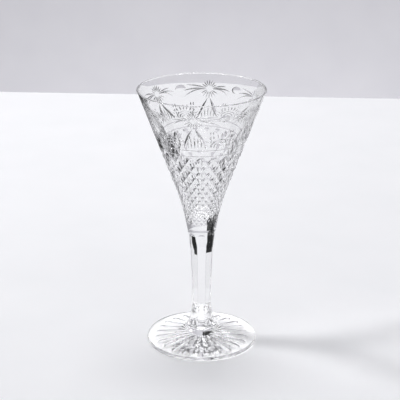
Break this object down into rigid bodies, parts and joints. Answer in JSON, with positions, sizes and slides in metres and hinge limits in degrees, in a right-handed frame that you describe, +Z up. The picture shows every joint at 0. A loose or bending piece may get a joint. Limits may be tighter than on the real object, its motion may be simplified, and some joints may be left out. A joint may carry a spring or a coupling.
{
  "type": "wine glass",
  "caption": "Stemmed wine glass of cut crystal: tall trumpet bowl, faceted stem and round star-cut foot.",
  "frame": {"origin": "centre of the foot's flat underside, on the table", "axes": "+Z up the axis of the glass to the rim; the glass is round, and -Y is the side that faces the viewer"},
  "size_m": [0.0856, 0.0856, 0.18],
  "materials": {
    "bowl_crystal": "clear lead crystal, fire-polished inside, wheel-cut and acid-polished outside",
    "stem_crystal": "clear lead crystal, flat-cut and polished",
    "foot_crystal": "clear lead crystal, fire-polished above, star-cut and polished below"
  },
  "bodies": {
    "root": {"bowl": "bowl_crystal", "stem": "stem_crystal", "foot": "foot_crystal"}
  },
  "joints": []
}
